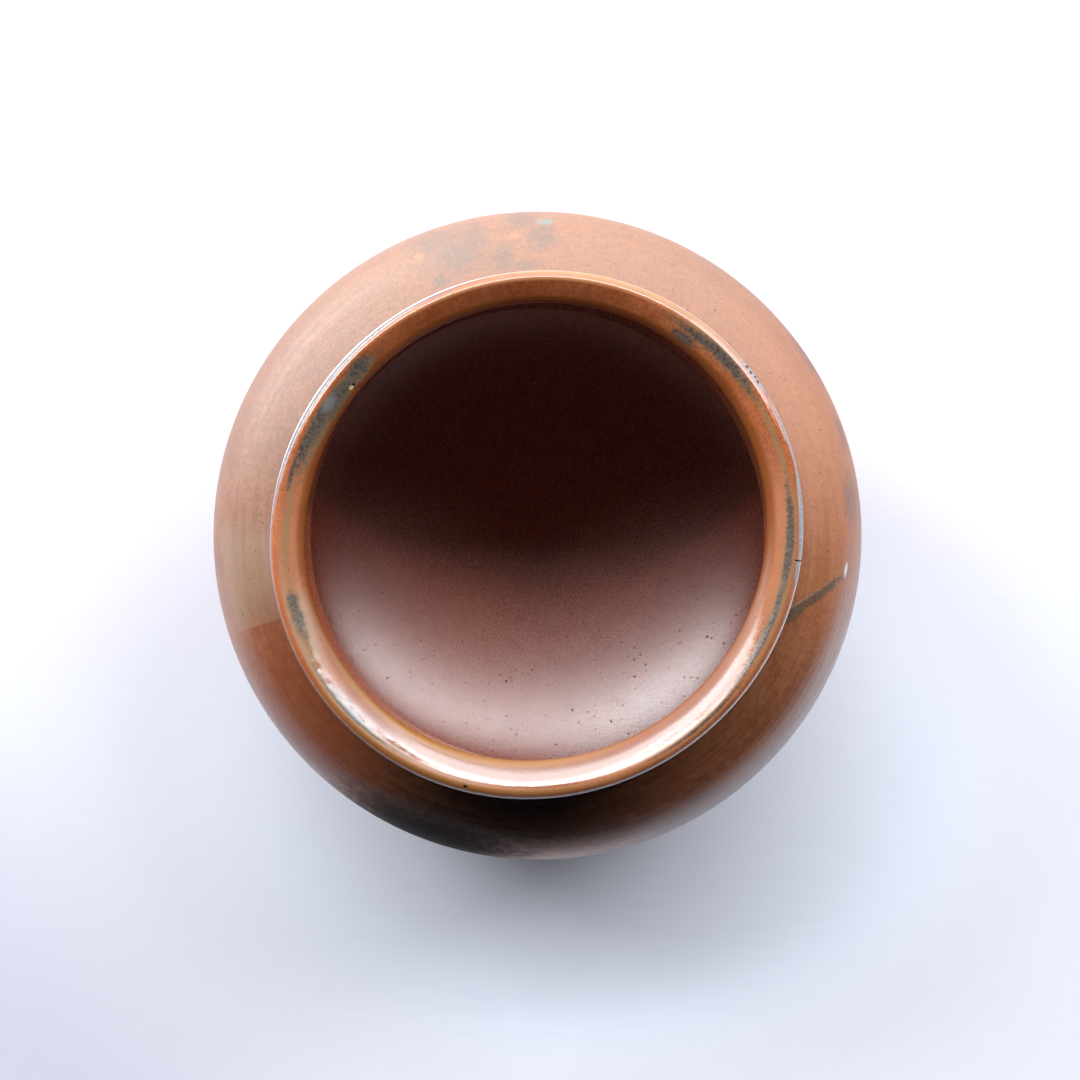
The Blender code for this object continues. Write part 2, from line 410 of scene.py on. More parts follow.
def wall_profile(low, high, count):
    """Closed profile up the outside of the wall and down the inside, between two joints."""
    stations = even_steps(low, high, count)
    profile = [wall_point(s) for s in stations] + [wall_point(s, True) for s in reversed(stations)]
    return profile + profile[:1]


belly = turn_section("belly", wall_profile(BASE_JOINT, SHOULDER_JOINT, count=60), steps=256)
shoulder = turn_section("shoulder", wall_profile(SHOULDER_JOINT, NECK_JOINT, count=44), steps=400)

# %% [markdown]
# ## Base dish
#
# The base is a dish: a flat foot ring round a shallow hollow underneath, a small chamfer, the start of
# the wall, and a floor that rises softly to meet the belly's inside. Its profile starts and ends on the
# axis, so its poles close when doubles are merged.

# %% Base dish
UNDERSIDE = (
    (0, 1.5), (26, 1.5), (52, 1.5),  # hollow
    (54, 0.75), (56, 0), (64, 0), (72.5, 0),  # foot ring
    (73.3, 0.3),  # chamfer
)
FOOT_STATION = 0.004
FLOOR_HEIGHT = 10
WALL_PULL, FLOOR_PULL = 0.45, 0.55

foot_wall = [wall_point(s) for s in even_steps(FOOT_STATION, BASE_JOINT, count=12)]
rim = wall_point(BASE_JOINT, True)
rise = along_curve(LOWER_WALL, BASE_JOINT)
floor_guides = (
    rim,
    rim - rise * (WALL_PULL * (rim.y - FLOOR_HEIGHT) / rise.y),
    Vector((FLOOR_PULL * rim.x, FLOOR_HEIGHT)),
    Vector((0, FLOOR_HEIGHT)),
)
floor = [on_curve(floor_guides, t) for t in even_steps(0, 1, count=30)]
base = turn_section("base", [Vector(point) for point in UNDERSIDE] + foot_wall + floor, steps=256)

# %% [markdown]
# ## Profiles with rounded corners
#
# The neck and the lip have corners, some sharp and some soft. Such a profile is drawn as corners with a
# rounding each; one helper sets an arc in a corner, and another fills long straights with points, so that
# the lip can be pressed out of true later. A Bevel modifier would give every corner the same rounding.

# %% Rounded profiles


def arc_in_corner(before, corner, after, radius, spacing):
    """Points of the arc that rounds one corner of a profile."""
    back, ahead = (before - corner).normalized(), (after - corner).normalized()
    half = back.angle(ahead) / 2
    centre = corner + (back + ahead).normalized() * (radius / math.sin(half))
    start = corner + back * (radius / math.tan(half)) - centre
    turn = (math.pi - 2 * half) * (-1 if back.cross(ahead) > 0 else 1)
    count = max(4, math.ceil(abs(turn) * radius / spacing))
    arc = []
    for i in range(count + 1):
        c, s = math.cos(turn * i / count), math.sin(turn * i / count)
        arc.append(centre + Vector((start.x * c - start.y * s, start.x * s + start.y * c)))
    return arc


def fill_straights(profile, longest):
    """Profile with extra points wherever two are farther apart than the longest step."""
    filled = [profile[0]]
    for before, after in zip(profile, profile[1:]):
        count = max(1, math.ceil((after - before).length / longest))
        filled += [before.lerp(after, i / count) for i in range(1, count + 1)]
    return filled


def rounded_profile(corners, spacing):
    """Closed profile through (radius, height, rounding) corners; a rounding of 0 keeps the corner."""
    spots = [Vector(corner[:2]) for corner in corners]
    profile = []
    for i, (spot, corner) in enumerate(zip(spots, corners)):
        if corner[2]:
            profile += arc_in_corner(spots[i - 1], spot, spots[i + 1], corner[2], spacing)
        else:
            profile.append(spot)
    profile = fill_straights(profile + profile[:1], spacing)
    print("profile of", len(corners), "corners:", len(profile), "points")
    return profile


# %% [markdown]
# ## Neck and lip
#
# The lip is the hardest part of this jar. From outside in, it has an undercut, a sharp outer edge, a
# bevel up to a rounded crest, a dished top that falls towards the mouth, and a soft mouth edge. The neck
# below it is a short collar between the shoulder and the lip's joint.

# %% Neck and lip
MOUTH_RADIUS, NECK_RADIUS, EDGE_RADIUS = 66.9, 71.5, 77.3
LIP_JOINT_HEIGHT = 151.45
INNER_SEAM = wall_point(NECK_JOINT, True)
LIP_CORNERS = [
    (NECK_RADIUS, LIP_JOINT_HEIGHT, 0),
    (NECK_RADIUS, 153.45, 2.2),
    (EDGE_RADIUS, 157.51, 0.5),
    (75.9, 160.6, 2.6),
    (71.2, 159.03, 40.0),
    (MOUTH_RADIUS, 157.24, 4.0),
    (MOUTH_RADIUS, LIP_JOINT_HEIGHT, 0),
]
NECK_CORNERS = [
    (*SHOULDER_TOP, 0),
    (NECK_RADIUS, 143.45, 3.0),
    (NECK_RADIUS, LIP_JOINT_HEIGHT, 0),
    (MOUTH_RADIUS, LIP_JOINT_HEIGHT, 0),
    (MOUTH_RADIUS, 139.24, 9.0),
    (*INNER_SEAM, 0),
]

lip = turn_section("lip", rounded_profile(LIP_CORNERS, spacing=0.3), steps=720)
neck = turn_section("neck", rounded_profile(NECK_CORNERS, spacing=0.6), steps=400)

# %% [markdown]
# ## The lip out of true
#
# The lip was shaped by hand. It is a little oval, as if two hands pressed it from the upper left and the
# lower right, and its rings don't share one centre: the mouth leans towards the back, so the lip looks
# broader in front. Each point's move is worked out in millimetres and stored as a weight in a vertex
# group, and a Displace modifier without a texture moves the points along one axis by that weight. It is
# then applied.

# %% Oval and lean of the rings
OVAL_BEARING, OVAL_SHARE = math.radians(52), 0.0185
MOUTH_LEAN, EDGE_LEAN = np.array((-0.48, 1.00)), np.array((-0.24, 0.18))
PRESS_BOTTOM, PRESS_RISE = 143.5, 12.5


def push_points(piece, axis, moves):
    """Move every point along one axis by its own number of millimetres."""
    low, reach = float(moves.min()), float(np.ptp(moves))
    group = piece.vertex_groups.new(name="push")
    for index, weight in enumerate(((moves - low) / reach).tolist()):
        group.add([index], weight, "REPLACE")
    modifier = piece.modifiers.new("push", "DISPLACE")
    modifier.direction, modifier.strength, modifier.mid_level = axis, reach * MM, 0
    modifier.vertex_group = "push"
    bpy.ops.object.select_all(action="DESELECT")
    bpy.context.view_layer.objects.active = piece
    bpy.ops.object.modifier_apply(modifier="push")
    piece.vertex_groups.remove(piece.vertex_groups["push"])
    bpy.ops.object.mode_set(mode="EDIT")
    bpy.ops.mesh.select_all(action="SELECT")
    bpy.ops.transform.translate(value=(low * MM, 0, 0) if axis == "X" else (0, low * MM, 0))
    bpy.ops.object.mode_set(mode="OBJECT")


def press_out_of_true(piece):
    """Squeeze a ring oval and lean it, fading to nothing down the neck."""
    x, y, z = points_of(piece).T
    outward = np.clip((np.hypot(x, y) - MOUTH_RADIUS) / (EDGE_RADIUS - MOUTH_RADIUS), 0, 1)[:, None]
    fade = np.clip((z - PRESS_BOTTOM) / PRESS_RISE, 0, 1)
    fade = fade * fade * (3 - 2 * fade)
    lean = MOUTH_LEAN + (EDGE_LEAN - MOUTH_LEAN) * outward
    c, s = math.cos(2 * OVAL_BEARING), math.sin(2 * OVAL_BEARING)
    push_points(piece, "X", fade * (lean[:, 0] + OVAL_SHARE * (s * y - c * x)))
    push_points(piece, "Y", fade * (lean[:, 1] + OVAL_SHARE * (s * x + c * y)))
    print(piece.name, "pressed oval by", OVAL_SHARE)


press_out_of_true(lip)
press_out_of_true(neck)

# %% [markdown]
# ## Where on the jar
#
# Nearly every mark in the glaze is tied to a place: so many degrees round the jar, so far out on the
# profile. One node group turns a point into its bearing in degrees, clockwise from the back, its turned
# radius and height in millimetres, and its position in millimetres for noise. All the finishes share it.

# %% Group: place on the jar
FULL_TURN, HALF_TURN = 360.0, 180.0


def new_group(name, inputs, outputs):
    """Empty shader node group; returns its tree, its inputs and the sockets of its output node."""
    tree = bpy.data.node_groups.new(name, "ShaderNodeTree")
    for in_out, sockets in (("INPUT", inputs), ("OUTPUT", outputs)):
        for label, kind in sockets.items():
            tree.interface.new_socket(name=label, in_out=in_out, socket_type="NodeSocket" + kind)
    start = tree.nodes.new("NodeGroupInput")
    return tree, start.outputs, tree.nodes.new("NodeGroupOutput").inputs


def use_group(tree, group, sockets=None):
    """Place a group in a tree, feed its inputs and return its outputs."""
    return put(tree, "Group", sockets, node_tree=group).outputs


tree, _, ends = new_group(
    "place_on_jar", {}, {"Bearing": "Float", "Radius": "Float", "Height": "Float", "Position": "Vector"}
)
PLACE = tree
raw = put(tree, "TexCoord").outputs["Object"]
position = put(tree, "VectorMath", {0: raw, "Scale": 1 / MM}, operation="SCALE").outputs["Vector"]
split = put(tree, "SeparateXYZ", {0: position}).outputs
degrees = calc(tree, "DEGREES", calc(tree, "ARCTAN2", split["X"], split["Y"]))
feed(tree, ends["Bearing"], calc(tree, "MODULO", calc(tree, "ADD", degrees, FULL_TURN), FULL_TURN))
feed(tree, ends["Radius"], put(tree, "Attribute", attribute_name="turned_radius").outputs["Fac"])
feed(tree, ends["Height"], put(tree, "Attribute", attribute_name="turned_height").outputs["Fac"])
feed(tree, ends["Position"], position)
print(PLACE.name, len(PLACE.nodes), "nodes")

# %% [markdown]
# ## Ragged patches
#
# Ash that fell on the hot glaze, runs, scorched places and worn edges all lie in patches with ragged
# rims. A patch is an ellipse round a bearing and a radius, with half-widths in degrees and millimetres,
# and its rim is broken by noise. A painted image would give the same marks, but only at one sharpness.

# %% Group: ragged patch
PATCH_INPUTS = ("Middle", "Half Degrees", "Ring", "Half Width", "Raggedness", "Softness")

tree, start, ends = new_group(
    "ragged_patch", dict.fromkeys(("Bearing", "Radius", "Rag", *PATCH_INPUTS), "Float"), {"Mask": "Float"}
)
PATCH = tree
turned = calc(tree, "ADD", calc(tree, "SUBTRACT", start["Bearing"], start["Middle"]), HALF_TURN)
turned = calc(tree, "SUBTRACT", calc(tree, "FLOORED_MODULO", turned, FULL_TURN), HALF_TURN)
round_share = calc(tree, "DIVIDE", turned, start["Half Degrees"])
outward = calc(tree, "SUBTRACT", start["Radius"], start["Ring"])
out_share = calc(tree, "DIVIDE", outward, start["Half Width"])
reach = calc(tree, "SQRT", combine(tree, "ADD", (round_share, round_share), (out_share, out_share)))
rag = times(tree, calc(tree, "SUBTRACT", start["Rag"], 0.5), start["Raggedness"])
inner = calc(tree, "SUBTRACT", 1.0, start["Softness"])
outer = calc(tree, "ADD", 1.0, start["Softness"])
feed(tree, ends["Mask"], slide(tree, calc(tree, "ADD", reach, rag), inner, outer, 1.0, 0.0))
print(PATCH.name, len(PATCH.nodes), "nodes")

# %% [markdown]
# ## Many patches, many marks
#
# A mark is seldom one ellipse. Many patches make one mask when the largest value is kept, and a mark is
# such a mask with a colour and a strength. Marks are listed by name in the order in which they are laid.

# %% Patches and marks


def patches(tree, where, rag, rows, fade=1.0):
    """Largest value over patches (bearing, half degrees, ring, half width, raggedness, softness)."""
    total = None
    for row in rows:
        sockets = {"Bearing": where["Bearing"], "Radius": where["Radius"], "Rag": rag}
        mask = use_group(tree, PATCH, sockets | dict(zip(PATCH_INPUTS, row)))["Mask"]
        total = mask if total is None else calc(tree, "MAXIMUM", total, mask)
    return times(tree, fade, total)


def lay_marks(tree, where, rag, colour, marks, fade=1.0):
    """Lay marks, given as name: (strength, colour, patches), over a colour one after the other."""
    for strength, over, rows in marks.values():
        colour = lay(tree, colour, patches(tree, where, rag, rows, fade), strength, over)
    print("marks laid:", ", ".join(marks))
    return colour


# %% [markdown]
# ## Specks
#
# Iron in the clay bleeds through as dark specks, and burst bubbles leave pinholes. Both are scattered
# dots of uneven size: cells of a Voronoi pattern, of which only a share carries a dot. The cell's own
# random colour decides which, so the dots don't line up in rows.

# %% Group: specks
tree, start, ends = new_group(
    "scattered_specks",
    {"Position": "Vector", "Spacing": "Float", "Size": "Float", "Share": "Float"},
    {"Mask": "Float"},
)
SPECKS = tree
scale = calc(tree, "DIVIDE", 1.0, start["Spacing"])
cells = put(tree, "TexVoronoi", {"Vector": start["Position"], "Scale": scale}).outputs
chance = put(tree, "SeparateColor", {0: cells["Color"]}).outputs
size = times(tree, start["Size"], calc(tree, "ADD", chance["Green"], 0.4))
distance = times(tree, cells["Distance"], start["Spacing"])
dot = slide(tree, distance, times(tree, size, 0.5), size, 1.0, 0.0)
picked = calc(tree, "LESS_THAN", chance["Red"], start["Share"])
feed(tree, ends["Mask"], times(tree, dot, picked))
print(SPECKS.name, len(SPECKS.nodes), "nodes")


def specks(tree, position, spacing, size, share):
    """Mask of dots, with spacing and size in millimetres, in a share of the cells."""
    sockets = {"Position": position, "Spacing": spacing, "Size": size, "Share": share}
    return use_group(tree, SPECKS, sockets)["Mask"]


# %% [markdown]
# ## Lip glaze: the ground
#
# The lip is the glossiest part of the jar. Its glaze is orange-brown, in clouds of a centimetre with
# finer mottling and dark pits over them. Three noises of different size make it, and break the rims of
# all that is laid over it.

# %% Lip glaze: ground
GLAZE_IOR = 1.75
LIP_BROWN, LIP_ORANGE = (0.28, 0.073, 0.022), (0.38, 0.112, 0.042)
LIP_MOTTLE, LIP_PITTING = (0.44, 0.150, 0.062), (0.15, 0.040, 0.013)


def new_finish(name, roughness, ior):
    """Material with a plain roughness, which a map may replace; returns it, its tree, shader and place."""
    material = bpy.data.materials.new(name)
    material.use_nodes = True
    shader = material.node_tree.nodes["Principled BSDF"]
    shader.inputs["Roughness"].default_value = roughness
    shader.inputs["IOR"].default_value = ior
    return material, material.node_tree, shader, use_group(material.node_tree, PLACE)


lip_glaze, tree, shader, where = new_finish("lip_glaze_with_ash", 0.08, GLAZE_IOR)
spot = where["Position"]
broad = cloud(tree, spot, scale=0.09, detail=3.0)
middling = cloud(tree, spot, scale=0.55, detail=4.0, roughness=0.6)
fine = cloud(tree, spot, scale=1.1, detail=3.0, roughness=0.55)
colour = tint(tree, slide(tree, broad, 0.35, 0.65), LIP_BROWN, LIP_ORANGE)
colour = tint(tree, slide(tree, middling, 0.42, 0.68, 0.0, 0.45), colour, LIP_MOTTLE)
colour = tint(tree, slide(tree, fine, 0.32, 0.55, 0.45, 0.0), colour, LIP_PITTING)
print("lip ground:", len(tree.nodes), "nodes")

# %% [markdown]
# ## Lip glaze: thick and thin
#
# Glaze runs while it is hot. It pools dark in the dish in front and at the mouth, and thins to ochre and
# buff where it turns over the crest and the outer edge. Some patches are painted light: the back of the
# dish, which faces away from the window, is darkened as painted shade, its left and right are paled as
# painted sheen, and the crest is lightened as painted highlight at the back and along the front. These are
# soft patches, broken by the broad noise in the dish and by the middling noise on the crest.

# %% Lip glaze: thick and thin
DISH_TONES_AND_PAINTED_LIGHT = {
    "deep front": (0.80, (0.155, 0.050, 0.024), [(180, 62, 71.0, 3.5, 0.4, 0.6)]),
    # painted sheen: the left and right of the dish are paled where a reflection would lie
    "painted sheen sides": (
        0.60, (0.42, 0.180, 0.100), [(96, 24, 71.0, 4.5, 0.5, 0.6), (262, 24, 71.5, 4.5, 0.5, 0.6)]
    ),
    # painted shade: the back of the dish, facing away from the window, is darkened
    "painted shade back": (0.55, (0.125, 0.030, 0.010), [(345, 40, 70.0, 5.0, 0.4, 0.7)]),
}
POOLED_GLAZE = (0.195, 0.052, 0.008)
CREST_TONES_AND_PAINTED_LIGHT = {
    # painted light: the crest is lightened where light falls on it, at the front and the back
    "painted light on crest": (
        0.55, (0.46, 0.21, 0.10), [(165, 52, 75.0, 0.9, 0.7, 0.5), (0, 40, 74.9, 0.9, 0.6, 0.6)]
    ),
    # painted highlight: a pale glow on the crest at the near left and near right
    "painted highlight on crest": (
        0.50, (0.66, 0.48, 0.38), [(222, 30, 74.0, 1.0, 0.5, 0.7), (148, 20, 73.4, 0.8, 0.9, 0.6)]
    ),
    "ember bevel": (0.40, (0.42, 0.118, 0.030), [(222, 38, 75.8, 1.2, 0.6, 0.6)]),
    "buff edge": (0.60, (0.50, 0.31, 0.15), [(18, 32, 77.0, 0.9, 0.6, 0.4)]),
    "ochre lines": (
        0.60, (0.29, 0.135, 0.035),
        [(203, 40, 67.4, 1.6, 0.7, 0.4), (203, 36, 75.6, 0.9, 0.8, 0.4), (25, 27, 76.2, 0.7, 0.5, 0.4)],
    ),
}

colour = lay_marks(tree, where, broad, colour, DISH_TONES_AND_PAINTED_LIGHT)
pooled = slide(tree, where["Radius"], 68.2, 70.2, 1.0, 0.0)
colour = lay(tree, colour, pooled, 0.75, POOLED_GLAZE)
colour = lay_marks(tree, where, middling, colour, CREST_TONES_AND_PAINTED_LIGHT)

# %% [markdown]
# ## Lip glaze: ash
#
# Wood ash has melted into the lip in grey streaks and blobs, each in an olive haze where less of it fell.
# The haze goes on first, then the grains of ash, dark and light by turns, and last two places with a
# bluish bloom.

# %% Lip glaze: ash
OLIVE_PATCHES = [
    (45, 12, 73.2, 2.1, 1.2, 0.5), (68, 13, 73.4, 0.8, 1.2, 0.5), (100, 24, 73.7, 1.8, 1.0, 0.5),
    (236, 24, 73.9, 0.8, 0.9, 0.6), (249, 10, 71.8, 2.9, 1.3, 0.4), (270, 13, 72.2, 0.9, 1.2, 0.4),
    (300, 15, 70.9, 2.7, 0.9, 0.25), (312, 5.2, 70.8, 2.4, 0.6, 0.12),
]
ASH_PATCHES = [
    (47, 9, 73.2, 1.55, 1.28, 0.55), (39, 5.5, 72.6, 1.15, 1.44, 0.75), (36.5, 3.2, 69.9, 1.45, 1.10, 0.60),
    (92, 13, 73.4, 1.05, 0.88, 0.47), (113, 15, 73.4, 0.75, 1.04, 0.50), (138, 14, 74.5, 0.45, 1.04, 0.65),
    (226, 11, 73.6, 0.60, 0.90, 0.80), (251, 4.5, 72.2, 1.50, 1.30, 0.75), (255, 2, 72.4, 1.40, 0.96, 0.60),
    (284.5, 4, 73.4, 0.60, 0.96, 0.55), (291, 5, 72.4, 1.35, 1.12, 0.60), (298.5, 6, 72.1, 1.75, 1.20, 0.65),
    (305, 6, 70.9, 1.80, 1.25, 0.70), (313.3, 3.6, 71.6, 2.30, 0.90, 0.50),
]
HAZES = {
    "olive haze": (0.62, (0.235, 0.165, 0.085), OLIVE_PATCHES),
    "drab haze": (0.80, (0.118, 0.088, 0.058), [(301, 15, 70.9, 2.4, 1.1, 0.4)]),
}
ASH_DARK, ASH_LIGHT = (0.048, 0.039, 0.033), (0.118, 0.097, 0.080)
BLOOMS = {
    "blue bloom": (
        0.50, (0.20, 0.205, 0.22), [(302.3, 2.4, 72.0, 1.6, 0.9, 0.45), (228, 7, 72.5, 1.6, 1.6, 0.6)]
    ),
}

colour = lay_marks(tree, where, middling, colour, HAZES)
grains = slide(tree, fine, 0.30, 0.70)
ash = patches(tree, where, middling, ASH_PATCHES)
colour = lay(tree, colour, ash, 0.95, tint(tree, grains, ASH_DARK, ASH_LIGHT))
colour = lay_marks(tree, where, middling, colour, BLOOMS)
print("ash in", len(ASH_PATCHES), "patches")

# %% [markdown]
# ## Lip glaze: the worn edge
#
# Handling has rubbed the sharp outer edge down to grey clay, most of all on the right, where a chip with
# dark pits has broken out. A dark line of painted shade lies under and beside the edge, and a thin bright
# line along the edge is a painted highlight. Iron specks are scattered over everything.

# %% Lip glaze: worn edge
WORN_PATCHES = [
    (53.5, 4.4, 76.8, 0.80, 0.8, 0.2), (68, 9, 76.9, 0.45, 0.9, 0.3), (86, 10.5, 76.75, 0.95, 0.6, 0.15),
    (97, 4, 76.8, 0.8, 0.6, 0.2), (150, 56, 77.2, 0.42, 0.4, 0.25), (308, 52, 77.1, 0.42, 0.8, 0.3),
    (306, 26, 76.5, 0.9, 0.9, 0.5),
]
# painted shade: dark lines under and beside the sharp edge
EDGE_SHADE_PATCHES = [
    (312, 34, 76.6, 0.42, 0.8, 0.4), (150, 54, 77.55, 0.25, 0.4, 0.3), (233, 30, 77.3, 0.55, 0.6, 0.3),
]
PIT_PATCHES = [
    (51.2, 0.35, 76.7, 0.40, 0.5, 0.2), (52.7, 0.35, 76.5, 0.42, 0.5, 0.2),
    (54.0, 0.3, 76.9, 0.35, 0.5, 0.2), (55.2, 0.4, 76.6, 0.38, 0.5, 0.2),
    (95.6, 0.22, 76.2, 1.2, 0.4, 0.2), (309.2, 0.45, 69.4, 0.45, 0.4, 0.2), (196, 0.5, 75.6, 0.4, 0.8, 0.3),
]
CLAY_DARK, CLAY_LIGHT = (0.18, 0.18, 0.195), (0.31, 0.31, 0.335)
EDGE_SHADE_PAINT, PIT, LIP_IRON = (0.045, 0.036, 0.034), (0.012, 0.011, 0.012), (0.07, 0.026, 0.014)
# painted highlight: a thin bright line along the edge
PAINTED_EDGE_HIGHLIGHTS = {
    "painted highlight line": (
        1.0, (0.80, 0.82, 0.86), [(147, 52, 77.15, 0.34, 0.4, 0.3), (315, 30, 77.1, 0.30, 0.6, 0.3)]
    ),
}
PALE_SPOTS = {"pale spot": (0.80, (0.62, 0.42, 0.20), [(308.4, 0.6, 69.3, 0.55, 0.4, 0.3)])}

worn = patches(tree, where, fine, WORN_PATCHES)
colour = tint(tree, worn, colour, tint(tree, grains, CLAY_DARK, CLAY_LIGHT))
# lay the painted shade line, then the painted highlight line
edge_shade = patches(tree, where, fine, EDGE_SHADE_PATCHES)
colour = lay(tree, colour, edge_shade, 0.75, EDGE_SHADE_PAINT)
colour = lay_marks(tree, where, fine, colour, PAINTED_EDGE_HIGHLIGHTS)
pits = patches(tree, where, fine, PIT_PATCHES)
colour = tint(tree, pits, colour, PIT)
colour = lay_marks(tree, where, fine, colour, PALE_SPOTS)
iron = specks(tree, spot, spacing=1.9, size=0.26, share=0.20)
colour = lay(tree, colour, iron, 0.6, LIP_IRON)
feed(tree, shader.inputs["Base Color"], colour)

# %% [markdown]
# ## Lip glaze: gloss and relief
#
# Most of the lip mirrors the window. Ash, the painted shade line by the edge and bare clay are dull, and the
# mouth edge near the viewer is only satin, so it shows one broad sheen. Trapped bubbles raise the glaze on
# the left. The relief is too shallow to model, a tenth of a millimetre, so a Bump node carries it.

# %% Lip glaze: gloss and relief
SATIN_PATCHES = [(150, 58, 67.8, 1.7, 0.3, 0.6), (236, 20, 68.6, 2.2, 0.4, 0.95)]
BUBBLE_PATCHES = [
    (229, 16, 72.4, 3.2, 0.8, 0.5), (250, 9, 71.8, 3.0, 0.8, 0.5), (303, 14, 71.5, 2.6, 0.8, 0.5),
]

satin = patches(tree, where, broad, SATIN_PATCHES)
dull = combine(tree, "MAXIMUM", (ash, 0.14), (worn, 0.6), (satin, 0.6), (edge_shade, 0.6), (pooled, 0.12))
feed(tree, shader.inputs["Roughness"], calc(tree, "ADD", dull, slide(tree, middling, 0.3, 0.7, 0.06, 0.11)))

swollen = patches(tree, where, middling, BUBBLE_PATCHES)
bubbles = times(tree, swollen, cloud(tree, spot, scale=0.25, detail=1.0))
crust = times(tree, calc(tree, "MAXIMUM", ash, worn), fine)
relief = combine(
    tree, "ADD", (middling, 0.4), (fine, 0.08), (crust, 0.22), (bubbles, 1.8), (iron, -0.2), (pits, -2.5)
)
emboss(tree, shader, relief, strength=0.6, depth=0.09)
print("lip glaze:", len(tree.nodes), "nodes")

# %% [markdown]
# ## Body glaze: the ground
#
# Below the lip the same glaze lies thinner and duller. Clouds of brown and orange show the rings that the
# potter's fingers left: a noise stretched along the bearing draws them. Marks that belong to the shoulder
# fade out above the belly, and broad tints fade slowly all the way down the wall, so that no edge shows
# from the side.

# %% Body glaze: ground
BODY_BROWN, BODY_ORANGE, BODY_PITTING = (0.245, 0.072, 0.026), (0.335, 0.122, 0.052), (0.12, 0.040, 0.018)
RING_STRETCH = 0.05

body_glaze, tree, shader, where = new_finish("body_glaze", 0.42, GLAZE_IOR)
spot = where["Position"]
broad = cloud(tree, spot, scale=0.05, detail=3.0)
middling = cloud(tree, spot, scale=0.35, detail=4.0, roughness=0.6)
fine = cloud(tree, spot, scale=2.4, detail=3.0, roughness=0.65)
squeezed = times(tree, where["Bearing"], RING_STRETCH)
ring_place = put(tree, "CombineXYZ", {"X": squeezed, "Y": where["Radius"], "Z": where["Height"]})
throwing = cloud(tree, ring_place.outputs["Vector"], scale=0.8, detail=4.0, roughness=0.65)
above_belly = slide(tree, where["Height"], 90.0, 106.0)
up_the_wall = slide(tree, where["Height"], 30.0, 112.0)

mottle = combine(tree, "ADD", (broad, 0.35), (middling, 0.35), (throwing, 0.30))
colour = tint(tree, slide(tree, mottle, 0.40, 0.60), BODY_BROWN, BODY_ORANGE)
colour = tint(tree, slide(tree, fine, 0.30, 0.70, 0.34, 0.0), colour, BODY_PITTING)
print("body ground:", len(tree.nodes), "nodes")

# %% [markdown]
# ## Body glaze: tints and flecks
#
# The fire has tinted the right side warmer. The paler left and the pinker back are painted sheen, where the
# window is reflected. Finger rings, mottling and flecks lie over these tints, and the side near the viewer,
# which faces away from the window, is darkened as painted shade.

# %% Body glaze: tints and flecks
FIRE_TINT_AND_PAINTED_SHEEN = {
    # painted sheen: the pale left and pink back stand for the window's reflection
    "painted sheen left": (0.65, (0.185, 0.110, 0.076), [(312, 45, 90, 24, 0.5, 0.7)]),
    "painted sheen back": (0.70, (0.29, 0.155, 0.098), [(8, 42, 92, 22, 0.5, 0.7)]),
    "warm right": (0.60, (0.42, 0.145, 0.048), [(76, 28, 87, 14, 0.5, 0.8)]),
}
RING_DARK, MOTTLE_LIGHT = (0.165, 0.052, 0.022), (0.36, 0.150, 0.060)
FLECK_DARK, FLECK_LIGHT = (0.15, 0.048, 0.018), (0.42, 0.190, 0.090)
# painted shade: the near side, away from the window, is darkened
PAINTED_FRONT_SHADE = {"painted shade front": (0.60, (0.055, 0.016, 0.006), [(178, 45, 84, 15, 0.3, 0.8)])}

colour = lay_marks(tree, where, middling, colour, FIRE_TINT_AND_PAINTED_SHEEN, up_the_wall)
colour = tint(tree, slide(tree, throwing, 0.40, 0.60, 0.13, 0.0), colour, RING_DARK)
colour = tint(tree, slide(tree, middling, 0.46, 0.70, 0.0, 0.20), colour, MOTTLE_LIGHT)
flecks = cloud(tree, spot, scale=0.9, detail=4.0, roughness=0.7)
colour = tint(tree, slide(tree, flecks, 0.34, 0.50, 0.30, 0.0), colour, FLECK_DARK)
colour = tint(tree, slide(tree, flecks, 0.50, 0.68, 0.0, 0.25), colour, FLECK_LIGHT)
colour = lay_marks(tree, where, middling, colour, PAINTED_FRONT_SHADE, up_the_wall)

# %% [markdown]
# ## Body glaze: khaki and scorch
#
# On the left a khaki zone ends in a straight line, as where a dipped coat of glaze overlaps another. It is
# cut by its bearing and its radius, with one sharp side. Next to it the glaze is redder. Near the viewer,
# just below the lip, the shoulder is painted nearly black as the lip's shadow, and beside it, by the
# outline, the flame has scorched the glaze nearly black.

# %% Body glaze: khaki and scorch
KHAKI, KHAKI_BEARING = (0.295, 0.200, 0.135), 251.8
RED_ZONE_AND_LIP_SHADOW = {
    "red zone": (0.60, (0.25, 0.062, 0.025), [(233, 20, 84, 12, 0.6, 0.5)]),
    # painted shadow: the lip's shadow on the shoulder near the viewer
    "painted lip shadow": (0.80, (0.020, 0.008, 0.004), [(184, 22, 86, 9, 0.8, 0.8)]),
}
SCORCH, SCORCH_PATCHES = (0.018, 0.013, 0.012), [(200, 15, 96, 6.5, 0.7, 0.6)]

turned = calc(tree, "SUBTRACT", where["Bearing"], KHAKI_BEARING)
khaki = times(tree, slide(tree, turned, 0.0, 0.5), slide(tree, turned, 15.0, 24.0, 1.0, 0.0))
khaki = times(tree, khaki, slide(tree, where["Radius"], 93.0, 97.0, 1.0, 0.0))
colour = lay(tree, colour, times(tree, khaki, above_belly), 0.6, KHAKI)
colour = lay_marks(tree, where, middling, colour, RED_ZONE_AND_LIP_SHADOW, above_belly)
scorch = patches(tree, where, middling, SCORCH_PATCHES, above_belly)
colour = lay(tree, colour, scorch, 0.9, SCORCH)

# %% [markdown]
# ## Body glaze: a run and its bead
#
# One run of dark glaze slides down the right and ends in a raised bead, whose pale colour is a painted
# glint. It goes a little aslant, so its patches are placed on a bearing that turns with the radius.

